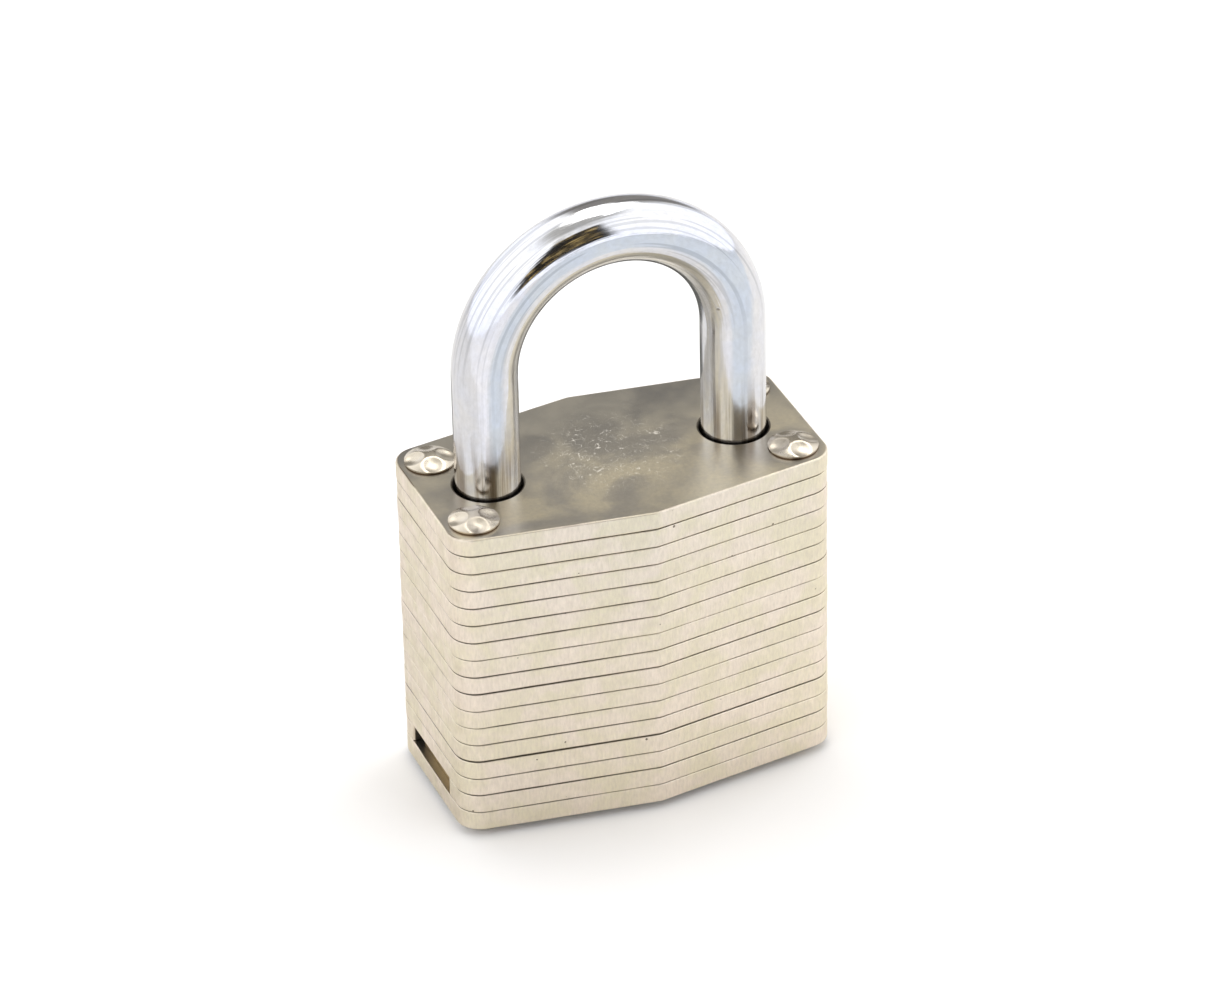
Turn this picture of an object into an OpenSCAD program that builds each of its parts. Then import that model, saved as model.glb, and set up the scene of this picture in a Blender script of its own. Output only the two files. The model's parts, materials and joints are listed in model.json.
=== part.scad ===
// Laminated steel padlock: riveted plate body, two-leg bolted shackle and a four-pin cylinder.
// Millimetres, +Z up. X runs across the body, -Y is the front, and the origin is the middle of
// the footprint, on the plane that the lower rivet heads stand on. At rest the shackle is closed
// and the plug is turned to its unlocked position, with both dogs drawn in.

/* [Body] */
// Width of the plate stack
body_w = 40; // [39:0.5:42]
// Depth of the stack at its two ends
end_depth = 17.7; // [17:0.1:19]
// Depth of the stack at the ridge in the middle
ridge_depth = 23.5; // [23:0.1:25]
// Radius of the four upright corners
corner_r = 2.6; // [1.5:0.1:3]
// Thickness of one plate
plate_t = 2; // [1.9:0.05:2.1]
// How far the rolled edges of a plate step back
edge_roll = 0.16; // [0.08:0.02:0.24]

/* [Shackle] */
// Diameter of the shackle bar
shackle_d = 6.5; // [6:0.1:6.6]
// Distance between the axes of the two legs
leg_spacing = 26; // [25.6:0.1:26.4]
// Diameter of the holes that the legs run in
leg_hole_d = 7.2; // [7:0.05:7.3]
// Height of the bend's centre above the top plate
bend_h = 12.3; // [10:0.1:40]
// Travel of the shackle from closed to fully open
lift = 13.4; // [13:0.1:13.6]

/* [Rivets] */
// Distance between rivets across the body
rivet_dx = 33.6; // [33:0.1:34]
// Distance between rivets front to back
rivet_dy = 11.9; // [11:0.1:12]
// Diameter of a rivet head
rivet_head_d = 5; // [4:0.1:5.4]
// Height of a rivet head
rivet_head_h = 0.9; // [0.7:0.05:1.2]

/* [Cylinder] */
// Diameter of the plug
plug_d = 10; // [9.8:0.1:10]
// Diameter of the round part of the cylinder housing
housing_d = 14; // [13.8:0.1:14]
// Distance from one pin chamber to the next
pin_pitch = 3.2; // [3:0.05:3.25]
// Lengths of the key pins from the mouth of the keyway inwards
key_pin_lengths = [2.8, 3.6, 2.4, 3.2];

/* [Locking dogs] */
// Travel of each dog from drawn in to locked
dog_travel = 2; // [1.6:0.1:2]

/* [Hidden] */
$fn = 48;
PLATES = 17;
PINS = 4;
SIDES = ["left", "right"];
CORNERS = ["front_left", "front_right", "back_left", "back_right"];
function two(n) = str(n < 10 ? "0" : "", n);

// Levels of the stack: bottom(k) and top(k) are the two faces of plate k, counted from below.
stack_z = rivet_head_h;
function bottom(k) = stack_z + (k - 1) * plate_t;
function top(k) = stack_z + k * plate_t;
stack_top = top(PLATES);
cut = 1; // how far a cut runs past the face that it opens

// Plates by their job
RETAINER_PLATE = 2;
LAST_HOUSING_PLATE = 10;
CLIP_PLATE = 11;
LATCH_PLATE = 12; // its D hole keeps the heel leg in
FIRST_DOG_PLATE = 13;
LAST_DOG_PLATE = 14;

rivet_shank_r = 1.5;

// Legs
leg_r = shackle_d / 2;
leg_x = leg_spacing / 2;
leg_hole_r = leg_hole_d / 2;
bend_z = stack_top + bend_h;
leg_chamfer = 0.6;

// Dog chamber and notches
dog_gap = 0.2;
dog_z = bottom(FIRST_DOG_PLATE) + dog_gap;
dog_t = 2 * plate_t - 2 * dog_gap;
dog_tip_x = leg_x - leg_hole_r - 0.05; // drawn in, just behind the wall of the leg hole
bite = dog_tip_x + dog_travel - (leg_x - leg_r); // how deep a locked dog stands in the leg
notch_x = leg_x - leg_r + bite + 0.3; // floor of the notches
notch_play = 0.3;
toe_shoulder = 2.4; // solid end below the toe notch
toe_z = dog_z - notch_play - toe_shoulder;

// Heel leg: long flat, round neck and foot
neck_r = 1.4;
neck_h = 2.6;
foot_h = 2.3;
foot_top = bottom(LATCH_PLATE) - lift - 0.15;
foot_z = foot_top - foot_h;
latch_x = notch_x - 0.35; // flat side of the D hole

// Cylinder
plug_r = plug_d / 2;
plug_hole_r = plug_r + 0.06;
housing_r = housing_d / 2;
housing_z = stack_z + 0.2;
housing_top = top(LAST_HOUSING_PLATE) - 0.05;
bible_w = 5.2; // width of the block that holds the driver pins
bible_x = -12.6; // its outer face
retainer_t = 1.7;
bible_z = bottom(RETAINER_PLATE) + retainer_t + 0.1;
flange_r = plug_r + 0.8;
flange_h = 1;
pin_r = 1.2;
pin_hole_r = 1.26;
shear_gap = 0.1;
first_pin_z = housing_z + 6.5;
function pin_z(i) = first_pin_z + (i - 1) * pin_pitch;
driver_len = 3.4;
cover_t = 0.8;
chamber_floor = 0.6; // the plug's chambers stop this far from its axis
boss_r = 3.9;
boss_top = top(CLIP_PLATE) + 0.7;
clip_z = housing_top + 0.1;
clip_t = 0.7;
tang_w = 2;

// Cam and dogs
cam_len = 3.8;
cam_r = 1.2;
cam_z = boss_top + 0.05;
cam_disc_top = dog_z - 0.35;
hook_x = cam_len + 0.45; // face that the cam pushes, with the dog drawn in
hook_t = 1.3;
dog_block_x = 7.2; // inner face of a dog's block, drawn in
tip_half = 2.4;
arm_in = 4.2;
arm_out = 6.6;
spring_pocket = 1;
slack = 0.02; // a spring is this much shorter than its space at each end
fit = 0.05; // play round pressed and riveted pieces

// ---- outlines ---------------------------------------------------------------------------

// Plan of a plate: ends end_depth deep, a ridge in the middle of the front and of the back.
module plan(inset = 0) {
    x = body_w / 2 - inset;
    e = end_depth / 2 - inset;
    m = ridge_depth / 2 - inset;
    r = corner_r - inset;
    slope = atan((ridge_depth - end_depth) / body_w);
    cx = x - r;
    cy = e + r * tan(slope) - r / cos(slope);
    arc = [for (i = [0:6]) let (a = i * (90 - slope) / 6) [cx + r * cos(a), cy + r * sin(a)]];
    quarter = concat(arc, [[0, m]]);
    back = concat(quarter, [for (i = [len(arc) - 1:-1:0]) [-arc[i][0], arc[i][1]]]);
    front = [for (i = [len(back) - 1:-1:0]) [back[i][0], -back[i][1]]];
    polygon(concat(back, front));
}

// One plate with rolled edges, and its four rivet holes.
module blank(k) {
    roll_h = 0.22;
    translate([0, 0, bottom(k)]) difference() {
        union() {
            linear_extrude(plate_t) plan(edge_roll);
            translate([0, 0, roll_h]) linear_extrude(plate_t - 2 * roll_h) plan();
        }
        for (x = [-1, 1], y = [-1, 1])
            translate([x * rivet_dx / 2, y * rivet_dy / 2, -cut])
                cylinder(r = rivet_shank_r + fit, h = plate_t + 2 * cut);
    }
}

// A cut right through plate k.
module through(k) {
    translate([0, 0, bottom(k) - cut]) linear_extrude(plate_t + 2 * cut) children();
}

module leg_hole(side) {
    translate([side * leg_x, 0]) circle(leg_hole_r);
}

// Round hole with a flat on the side of the cam, which the foot of the heel leg can't pass.
module d_hole() {
    intersection() {
        leg_hole(1);
        translate([latch_x, -leg_hole_r - cut]) square([2 * leg_hole_r, 2 * (leg_hole_r + cut)]);
    }
}

// Plan of the pocket that the cylinder slides up into.
module housing_plan(play) {
    circle(housing_r + play);
    translate([bible_x - play, -bible_w / 2 - play]) square([-bible_x, bible_w + 2 * play]);
}

// ---- plates -----------------------------------------------------------------------------

module plate(k) {
    color("gainsboro") difference() {
        blank(k);
        if (k <= LAST_HOUSING_PLATE) through(k) housing_plan(0.1);
        if (k >= RETAINER_PLATE && k != LATCH_PLATE) through(k) leg_hole(1);
        if (k == LATCH_PLATE) through(k) d_hole();
        if (k >= CLIP_PLATE) through(k) leg_hole(-1);
        if (k == RETAINER_PLATE) through(k) retainer_channel();
        if (k == CLIP_PLATE) through(k) circle(6.2);
        if (k == LATCH_PLATE) through(k) circle(boss_r + 0.5);
        if (k >= FIRST_DOG_PLATE && k <= LAST_DOG_PLATE) through(k) dog_chamber();
    }
}

// Channel right through the second plate, open at the left end, that takes the cylinder retainer.
module retainer_channel() {
    channel_w = 9.9;
    channel_y = 0.35;
    translate([-body_w / 2 - cut, channel_y - channel_w / 2]) square([body_w / 2 + cut, channel_w]);
}

module dog_chamber() {
    square([2 * (dog_tip_x + dog_travel + 0.25), 2 * (arm_out + 0.3)], center = true);
}

// ---- rivets -----------------------------------------------------------------------------

// Domed head with four dimples in a cross near its rim, standing on z = 0.
module domed_head() {
    rim_h = 0.3;
    r = rivet_head_d / 2;
    rise = rivet_head_h - rim_h;
    dome_r = (r * r + rise * rise) / (2 * rise);
    dimple_r = 0.75;
    difference() {
        intersection() {
            cylinder(r = r, h = rivet_head_h);
            translate([0, 0, rivet_head_h - dome_r]) sphere(dome_r, $fn = 96);
        }
        for (a = [0:90:270]) rotate(a)
            translate([r * 0.58, 0, rivet_head_h + dimple_r * 0.42]) sphere(dimple_r);
    }
}

// Lower head: pressed flat, so that the lock stands on it.
module flat_head() {
    r = rivet_head_d / 2;
    bevel = 0.3;
    rotate_extrude() polygon([[0, 0], [r - bevel, 0], [r, bevel], [r, rivet_head_h], [0, rivet_head_h]]);
}

module rivet(corner) {
    x = (corner == 1 || corner == 3) ? 1 : -1;
    y = corner < 2 ? -1 : 1;
    color("silver") translate([x * rivet_dx / 2, y * rivet_dy / 2, 0]) {
        flat_head();
        translate([0, 0, stack_z - 0.1]) cylinder(r = rivet_shank_r, h = stack_top - stack_z + 0.2);
        translate([0, 0, stack_top]) domed_head();
    }
}

// ---- shackle ----------------------------------------------------------------------------

// Round leg that ends at z_end with a small chamfer, standing on the axis x.
module leg(x, z_end) {
    translate([x, 0, z_end]) rotate_extrude()
        polygon([[0, 0], [leg_r - leg_chamfer, 0], [leg_r, leg_chamfer], [leg_r, bend_z - z_end], [0, bend_z - z_end]]);
}

// Cut across the inner side of the right leg, from z0 to z1.
module inner_flat(z0, z1) {
    translate([leg_x - leg_r - cut, -leg_r - cut, z0])
        cube([notch_x - leg_x + leg_r + cut, 2 * (leg_r + cut), z1 - z0]);
}

module shackle() {
    notch_top = dog_z + dog_t + notch_play;
    color("lightsteelblue") difference() {
        union() {
            translate([0, 0, bend_z]) rotate([90, 0, 0])
                rotate_extrude(angle = 180) translate([leg_x, 0]) circle(leg_r);
            leg(-leg_x, toe_z);
            leg(leg_x, foot_z);
        }
        inner_flat(foot_top + neck_h / 2, notch_top);
        mirror([1, 0, 0]) inner_flat(dog_z - notch_play, notch_top);
        translate([leg_x, 0, foot_top]) difference() {
            cylinder(r = leg_r + cut, h = neck_h);
            translate([0, 0, -cut]) cylinder(r = neck_r, h = neck_h + 2 * cut);
        }
    }
}

// ---- springs ----------------------------------------------------------------------------

// Coil of round wire along +Z from z = 0 to z = length. The end turns lie close to the seats.
module coil(outer_d, wire_d, length, turns, per_turn, sides) {
    r = (outer_d - wire_d) / 2;
    w = wire_d / 2;
    steps = turns * per_turn;
    rise = length - wire_d;
    ring = [for (i = [0:steps]) let (a = 360 * i / per_turn, z = w + rise * i / steps)
        for (s = [0:sides - 1]) let (b = 360 * s / sides)
            [(r + w * cos(b)) * cos(a), (r + w * cos(b)) * sin(a), z + w * sin(b)]];
    skin = [for (i = [0:steps - 1], s = [0:sides - 1]) let (n = (s + 1) % sides)
        [i * sides + s, (i + 1) * sides + s, (i + 1) * sides + n, i * sides + n]];
    ends = [[for (s = [0:sides - 1]) s], [for (s = [sides - 1:-1:0]) steps * sides + s]];
    polyhedron(ring, concat(skin, ends), convexity = 10);
}

module shackle_spring() {
    z = bottom(RETAINER_PLATE) + 0.05;
    color("dimgray") translate([leg_x, 0, z]) coil(5.8, 0.7, foot_z - z - 0.05, 4, 14, 6);
}

// ---- cylinder ---------------------------------------------------------------------------

module cylinder_housing() {
    color("darkkhaki") difference() {
        union() {
            translate([0, 0, housing_z]) cylinder(r = housing_r, h = housing_top - housing_z);
            translate([bible_x, -bible_w / 2, bible_z]) cube([-bible_x, bible_w, housing_top - bible_z]);
        }
        translate([0, 0, housing_z - cut])
            cylinder(r = plug_hole_r, h = housing_top - housing_z + 2 * cut);
        translate([0, 0, housing_z - cut]) cylinder(r = flange_r + 0.06, h = flange_h + 0.1 + cut);
        for (i = [1:PINS]) translate([0, 0, pin_z(i)]) rotate([0, -90, 0])
            cylinder(r = pin_hole_r, h = -bible_x + cut);
        cover_slot(0);
    }
}

// Shallow slot down the outer side of the housing that the pin cover is pressed into.
module cover_slot(play) {
    z0 = pin_z(1) - 2;
    z1 = pin_z(PINS) + 2;
    w = 3.6;
    translate([bible_x - (play == 0 ? cut : 0), -w / 2 + play, z0 + play])
        cube([cover_t + (play == 0 ? cut : 0), w - 2 * play, z1 - z0 - 2 * play]);
}

module pin_cover() {
    color("peru") cover_slot(0.02);
}

// Slot for the key's blade, with a ward on each side. y_pins is the end under the pins.
module keyway() {
    half = 1.1;
    ward = 0.55;
    y_pins = -3.9;
    y_back = 4.2;
    polygon([
        [-half, y_pins], [half, y_pins], [half, -1.4], [half - ward, -1.1], [half - ward, 0.1],
        [half, 0.4], [half, y_back], [-half + ward, y_back], [-half + ward, 2.4],
        [-half, 2.1], [-half, 1.2], [-half + ward, 0.9], [-half + ward, -0.3], [-half, -0.6]
    ]);
}

// The plug in its unlocked position: its chambers point to the front, a quarter turn from
// the driver pins.
module cylinder_plug() {
    plug_z = housing_z + 0.05;
    barrel_top = housing_top + 0.02;
    color("goldenrod") difference() {
        union() {
            translate([0, 0, plug_z]) cylinder(r = plug_r, h = barrel_top - plug_z);
            translate([0, 0, plug_z]) cylinder(r = flange_r, h = flange_h);
            translate([0, 0, barrel_top - 1]) cylinder(r = boss_r, h = boss_top - barrel_top + 1);
        }
        translate([0, 0, plug_z - cut]) linear_extrude(pin_z(PINS) + 2.2 - plug_z + cut) keyway();
        for (i = [1:PINS]) translate([0, -chamber_floor, pin_z(i)]) rotate([90, 0, 0])
            cylinder(r = pin_hole_r, h = plug_r);
        translate([0, 0, clip_z - 0.05]) difference() {
            cylinder(r = boss_r + cut, h = clip_t + 0.1);
            translate([0, 0, -cut]) cylinder(r = 3.2, h = clip_t + 2 * cut);
        }
        translate([-boss_r - cut, -tang_w / 2, boss_top - 1.6]) cube([2 * (boss_r + cut), tang_w, 1.6 + cut]);
    }
}

// Open ring in the groove above the housing, which keeps the plug in.
module plug_clip() {
    mouth = 50;
    color("dimgray") translate([0, 0, clip_z]) difference() {
        cylinder(r = 5.7, h = clip_t);
        translate([0, 0, -cut]) cylinder(r = 3.24, h = clip_t + 2 * cut);
        translate([0, 0, -cut]) linear_extrude(clip_t + 2 * cut)
            polygon([[0, 0], [9 * cos(mouth), 9 * sin(mouth)], [0, 12], [-9 * cos(mouth), 9 * sin(mouth)]]);
    }
}

// Disc on the end of the plug, with a tang below it and the bar that works the dogs above it.
module drive_cam() {
    bar_z = cam_disc_top - 0.1;
    bar_top = dog_z + dog_t - 0.1;
    color("lightslategray") {
        translate([0, 0, cam_z]) cylinder(r = boss_r, h = cam_disc_top - cam_z);
        translate([-3, -tang_w / 2 + 0.05, cam_z - 1.5]) cube([6, tang_w - 0.1, 1.6]);
        translate([0, 0, bar_z]) linear_extrude(bar_top - bar_z) {
            for (s = [-1, 1]) translate([s * (cam_len - cam_r), 0]) circle(cam_r);
            square([2 * (cam_len - cam_r), 2 * cam_r], center = true);
        }
    }
}

// Flat slide that passes under the pin block, so that the cylinder can't drop out.
module cylinder_retainer() {
    width = rivet_dy - 2 * rivet_shank_r - 0.5;
    outer_x = -body_w / 2 + 0.9;
    inner_x = -housing_r - 0.3;
    pull_hole_r = 1;
    z = bottom(RETAINER_PLATE) + 0.03;
    color("saddlebrown") difference() {
        translate([outer_x, -width / 2, z]) cube([inner_x - outer_x, width, retainer_t]);
        translate([outer_x + 2.2, 0, z - cut]) cylinder(r = pull_hole_r, h = retainer_t + 2 * cut);
    }
}

// Key pin i stands in the plug with its flat end at the shear line and its point inwards.
module key_pin(i) {
    len_i = key_pin_lengths[i - 1];
    point = 0.8;
    color("gold") translate([0, -plug_r + shear_gap, pin_z(i)]) rotate([-90, 0, 0]) rotate_extrude()
        polygon([[0, 0], [pin_r, 0], [pin_r, len_i - point], [0.3, len_i], [0, len_i]]);
}

module driver_pin(i) {
    round_r = 0.25;
    color("silver") translate([-plug_r - shear_gap, 0, pin_z(i)]) rotate([0, -90, 0]) rotate_extrude()
        polygon([
            [0, 0], [pin_r - round_r, 0], [pin_r, round_r], [pin_r, driver_len - round_r],
            [pin_r - round_r, driver_len], [0, driver_len]
        ]);
}

module pin_spring(i) {
    start = plug_r + shear_gap + driver_len + slack;
    length = -bible_x - cover_t - slack - start;
    color("gray") translate([-start, 0, pin_z(i)]) rotate([0, -90, 0]) coil(2.2, 0.34, length, 4, 12, 5);
}

// ---- dogs -------------------------------------------------------------------------------

// Dog of the toe leg: a tip that stands in the notch, an arm past the front of the cam, and a
// hook on the far side of the cam. The other dog is the same piece turned half round.
module dog_shape() {
    hook_end = 1.9;
    polygon([
        [-dog_tip_x, -arm_out], [hook_x + hook_t, -arm_out], [hook_x + hook_t, hook_end],
        [hook_x, hook_end], [hook_x, -arm_in], [-dog_block_x, -arm_in], [-dog_block_x, tip_half],
        [-dog_tip_x, tip_half]
    ]);
}

module locking_dog(side) {
    color("slategray") rotate(side == 0 ? 0 : 180) difference() {
        translate([0, 0, dog_z]) linear_extrude(dog_t) dog_shape();
        translate([-dog_block_x - spring_pocket, 0, dog_z + dog_t / 2]) rotate([0, 90, 0])
            cylinder(r = 1.3, h = spring_pocket + cut);
    }
}

// Spring between the hook of one dog and the block of the other, which pushes both outwards.
module dog_spring(side) {
    start = hook_x + hook_t + slack;
    length = dog_block_x + spring_pocket - slack - start;
    color("gray") rotate(side == 0 ? 180 : 0) translate([start, 0, dog_z + dog_t / 2])
        rotate([0, 90, 0]) coil(2.2, 0.34, length, 4, 12, 5);
}

// ---- assembly ---------------------------------------------------------------------------

for (k = [1:PLATES]) plate(k);
for (c = [0:3]) rivet(c);
shackle();
shackle_spring();
cylinder_housing();
cylinder_plug();
plug_clip();
drive_cam();
pin_cover();
cylinder_retainer();
for (i = [1:PINS]) key_pin(i);
for (i = [1:PINS]) driver_pin(i);
for (i = [1:PINS]) pin_spring(i);
for (s = [0, 1]) locking_dog(s);
for (s = [0, 1]) dog_spring(s);
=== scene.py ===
"""Laminated padlock: looks for the fixed frame, laid out as an add-on and run as a script."""

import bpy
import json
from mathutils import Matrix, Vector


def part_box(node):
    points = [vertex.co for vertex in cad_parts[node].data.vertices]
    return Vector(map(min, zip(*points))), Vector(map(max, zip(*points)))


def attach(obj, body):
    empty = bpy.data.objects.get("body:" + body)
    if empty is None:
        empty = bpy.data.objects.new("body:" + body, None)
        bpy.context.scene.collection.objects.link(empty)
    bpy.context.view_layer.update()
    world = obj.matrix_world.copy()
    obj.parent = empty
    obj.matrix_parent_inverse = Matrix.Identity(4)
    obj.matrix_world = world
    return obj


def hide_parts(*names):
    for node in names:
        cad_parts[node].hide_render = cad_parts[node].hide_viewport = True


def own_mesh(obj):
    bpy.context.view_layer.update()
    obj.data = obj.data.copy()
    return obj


bl_info = {
    "name": "Laminated Padlock",
    "version": (1, 0, 0),
    "blender": (4, 5, 0),
    "location": "3D View > Sidebar > Padlock",
    "description": "Plates, rivets, shackle, springs, lock work and studio of a laminated padlock",
    "category": "Object",
}

import json
import math
import random

import bpy
from bpy.props import FloatProperty, FloatVectorProperty, IntProperty, PointerProperty
from mathutils import Matrix, Vector, noise
from mathutils.geometry import delaunay_2d_cdt

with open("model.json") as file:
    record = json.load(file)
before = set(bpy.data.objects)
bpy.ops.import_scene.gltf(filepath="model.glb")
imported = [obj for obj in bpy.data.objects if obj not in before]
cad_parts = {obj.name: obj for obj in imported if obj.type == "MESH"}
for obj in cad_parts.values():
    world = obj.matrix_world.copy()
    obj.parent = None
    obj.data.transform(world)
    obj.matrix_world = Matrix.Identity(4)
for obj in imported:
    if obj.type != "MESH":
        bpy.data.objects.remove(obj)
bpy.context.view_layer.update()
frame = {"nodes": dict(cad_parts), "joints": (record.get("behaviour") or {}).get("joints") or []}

MM = 0.001
PLATES = 17
# Plates counted from the lowest: what each part of the stack makes room for
SLOT_PLATE = 2
HOUSING_TOP = 10
CAM_PLATE = 11
FOOT_PLATE = 12
DOG_PLATES = (13, 14)
RIVETS = ("rivet_front_left", "rivet_front_right", "rivet_back_left", "rivet_back_right")


def box_mm(name):
    """Lowest and highest corner of a node, in millimetres."""
    low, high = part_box(name)
    return low / MM, high / MM


def plate_name(k):
    """Name of the plate with that number, counted from the lowest."""
    return "plate_%02d" % k


def travel_mm(joint):
    """The longest way that a slide moves, in millimetres."""
    for j in frame["joints"]:
        if j["name"] == joint:
            return max(abs(v) for v in j["range_m"]) / MM
    raise ValueError("no joint named " + joint)


# ---- meshes -------------------------------------------------------------------------------


def publish(name, mesh, body, nodes):
    """Link a finished mesh as a piece, and tie it to the frame."""
    piece = bpy.data.objects.new(name, mesh)
    bpy.context.scene.collection.objects.link(piece)
    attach(piece, body)
    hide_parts(*nodes)
    return piece


def ring_points(cx, cy, radius, count=64):
    """Points round a circle."""
    return [
        (cx + radius * math.cos(math.tau * i / count), cy + radius * math.sin(math.tau * i / count))
        for i in range(count)
    ]


def inside(point, loop):
    """Even-odd test of a point against a closed line."""
    x, y = point
    hit = False
    for i in range(len(loop)):
        x0, y0 = loop[i - 1]
        x1, y1 = loop[i]
        if (y0 > y) != (y1 > y) and x < (x1 - x0) * (y - y0) / (y1 - y0) + x0:
            hit = not hit
    return hit


def triangulate(loops, keep):
    """Triangles between closed lines, where keep(centre) is true."""
    points = []
    edges = []
    for loop in loops:
        first = len(points)
        points += [Vector(p) for p in loop]
        edges += [(first + i, first + (i + 1) % len(loop)) for i in range(len(loop))]
    verts, _, faces, *_ = delaunay_2d_cdt(points, edges, [], 0, 1e-6)
    kept = []
    for face in faces:
        centre = sum((verts[i] for i in face), Vector((0, 0))) / len(face)
        if keep(centre):
            a, b, c = (verts[i] for i in face)
            kept.append(face if (b - a).cross(c - a) > 0 else face[::-1])
    return verts, kept


def region(plan, holes):
    """Boundary lines of a plan less its holes, which may overlap each other and the plan."""
    verts, faces = triangulate(
        [plan] + holes, lambda p: inside(p, plan) and not any(inside(p, h) for h in holes)
    )
    sides = {(f[i - 1], f[i]) for f in faces for i in range(3)}
    following = {a: b for a, b in sides if (b, a) not in sides}
    loops = []
    while following:
        start, here = following.popitem()
        loop = [start]
        while here != start:
            loop.append(here)
            here = following.pop(here)
        points = [verts[i] for i in loop]
        loops.append([p for i, p in enumerate(points) if (p - points[i - 1]).length > 0.06])
    return loops


def soften(loop, reach=0.25):
    """Round the sharp turns. Gives (point, outward normal) pairs, with the metal on the left."""
    out = []
    count = len(loop)
    for i, here in enumerate(loop):
        back, ahead = here - loop[i - 1], loop[(i + 1) % count] - here
        u, v = back.normalized(), ahead.normalized()
        if u.dot(v) > math.cos(math.radians(30)):
            out.append((here, (u + v).normalized()))
            continue
        k = min(reach, 0.45 * back.length, 0.45 * ahead.length)
        first, last = here - u * k, here + v * k
        out.append((first, u))
        out.append((first * 0.25 + here * 0.5 + last * 0.25, (u + v).normalized()))
        out.append((last, v))
    return [(p, Vector((d.y, -d.x))) for p, d in out]


def mitres(line):
    """For each point, the step that moves both of its sides outwards by one."""
    out = []
    count = len(line)
    for i, (p, _) in enumerate(line):
        u = (p - line[i - 1][0]).normalized()
        v = (line[(i + 1) % count][0] - p).normalized()
        n1, n2 = Vector((u.y, -u.x)), Vector((v.y, -v.x))
        out.append((n1 + n2) / max(0.5, 1 + n1.dot(n2)))
    return out


def slab(name, loops, z0, z1, roll_low, roll_high, wobble, tone, bore_test):
    """Plate between z0 and z1 with rolled edges round each loop, in millimetres.

    Slot 0 is the flats, slot 1 the outer edge and slot 2 the walls of the holes.
    """
    steps = 4
    profile = []
    for j in range(steps + 1):
        a = -math.pi / 2 * (1 - j / steps)
        profile.append((roll_low * (1 - math.cos(a)), z0 + roll_low * (1 + math.sin(a)), a))
    for part in (0.35, 0.7):
        z = z0 + roll_low + (z1 - roll_high - z0 - roll_low) * part
        profile.append((0, z, 0))
    for j in range(steps + 1):
        a = math.pi / 2 * j / steps
        profile.append((roll_high * (1 - math.cos(a)), z1 - roll_high * (1 - math.sin(a)), a))
    rings = len(profile)
    verts, normals, dirt_and_shade, faces, slots = [], [], [], [], []
    lines = [soften(loop) for loop in loops]
    starts = []
    for line, loop in zip(lines, loops):
        starts.append(len(verts))
        cornered = len(line) > len(loop)
        turns = zip(line, mitres(line))
        steps_out = [m * (0.2 if cornered and bore_test(p) else 1) for (p, _), m in turns]
        for j, (inset, z, a) in enumerate(profile):
            for (p, n), m in zip(line, steps_out):
                q = p - m * inset
                lift = 0
                if 0 < j < rings - 1 and wobble:
                    wave = noise.noise(Vector((p.x * 0.5, p.y * 0.5, z0 + 3 * tone)))
                    lift = wobble * wave * (1 if j <= steps else -0.5 if j > steps + 2 else 0)
                verts.append((q.x, q.y, z + lift))
                normals.append((n.x * math.cos(a), n.y * math.cos(a), math.sin(a)))
                depth = inset / max(roll_low, roll_high)
                # Dirt and painted shade: darkest where the roll turns under towards the gap between
                # plates
                dirt_and_shade.append(min(1.0, depth * 1.6) if j <= steps else 0.35 * depth)
        size = len(line)
        base = starts[-1]
        for j in range(rings - 1):
            for i in range(size):
                k = (i + 1) % size
                a, b = base + j * size, base + (j + 1) * size
                faces.append((a + i, a + k, b + k, b + i))
                middle = (line[i][0] + line[k][0]) / 2
                slots.append(2 if bore_test(middle) else 1)
    for ring in (0, rings - 1):
        order, flat = [], []
        for line, base in zip(lines, starts):
            size = len(line)
            index = [base + ring * size + i for i in range(size)]
            order += index
            flat.append([Vector(verts[i][:2]) for i in index])
        found, tris = triangulate(flat, lambda p: sum(inside(p, f) for f in flat) % 2 == 1)
        if len(found) != len(order):
            raise ValueError("the flats of %s don't close" % name)
        for t in tris:
            t = [order[i] for i in t]
            faces.append(t if ring else t[::-1])
            slots.append(0)
    mesh = bpy.data.meshes.new(name)
    mesh.from_pydata([Vector(v) * MM for v in verts], [], faces)
    mesh.polygons.foreach_set("material_index", slots)
    mesh.polygons.foreach_set("use_smooth", [True] * len(faces))
    for label, values in (("dirt_and_shade", dirt_and_shade), ("tone", [tone] * len(verts))):
        layer = mesh.attributes.new(label, "FLOAT", "POINT")
        layer.data.foreach_set("value", values)
    mesh.update()
    mesh.normals_split_custom_set_from_vertices(normals)
    return mesh


def tube(name, rings):
    """Skin over rings of (centre, outward axis, radius, flat) in the XZ plane, in millimetres.

    flat cuts the side towards the bend's centre off at that distance from the axis.
    """
    around = 72
    verts, along, faces = [], [], []
    run = 0.0
    for n, (centre, axis, radius, flat) in enumerate(rings):
        if n:
            run += (centre - rings[n - 1][0]).length
        for i in range(around):
            phi = math.tau * i / around
            u = radius * math.cos(phi)
            if flat is not None:
                u = max(u, -flat)
            v = radius * math.sin(phi)
            verts.append((centre + axis * u + Vector((0, v, 0))) * MM)
            along.append((u, v, run))
    for n in range(len(rings) - 1):
        for i in range(around):
            k = (i + 1) % around
            a, b = n * around, (n + 1) * around
            faces.append((a + i, b + i, b + k, a + k))
    last = (len(rings) - 1) * around
    faces.append(tuple(range(around)))
    faces.append(tuple(last + i for i in reversed(range(around))))
    mesh = bpy.data.meshes.new(name)
    mesh.from_pydata(verts, [], faces)
    layer = mesh.attributes.new("bar", "FLOAT_VECTOR", "POINT")
    layer.data.foreach_set("vector", [c for v in along for c in v])
    mesh.polygons.foreach_set("use_smooth", [True] * len(faces))
    mesh.update()
    mesh.set_sharp_from_angle(angle=math.radians(32))
    return mesh


# ---- nodes --------------------------------------------------------------------------------


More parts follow.
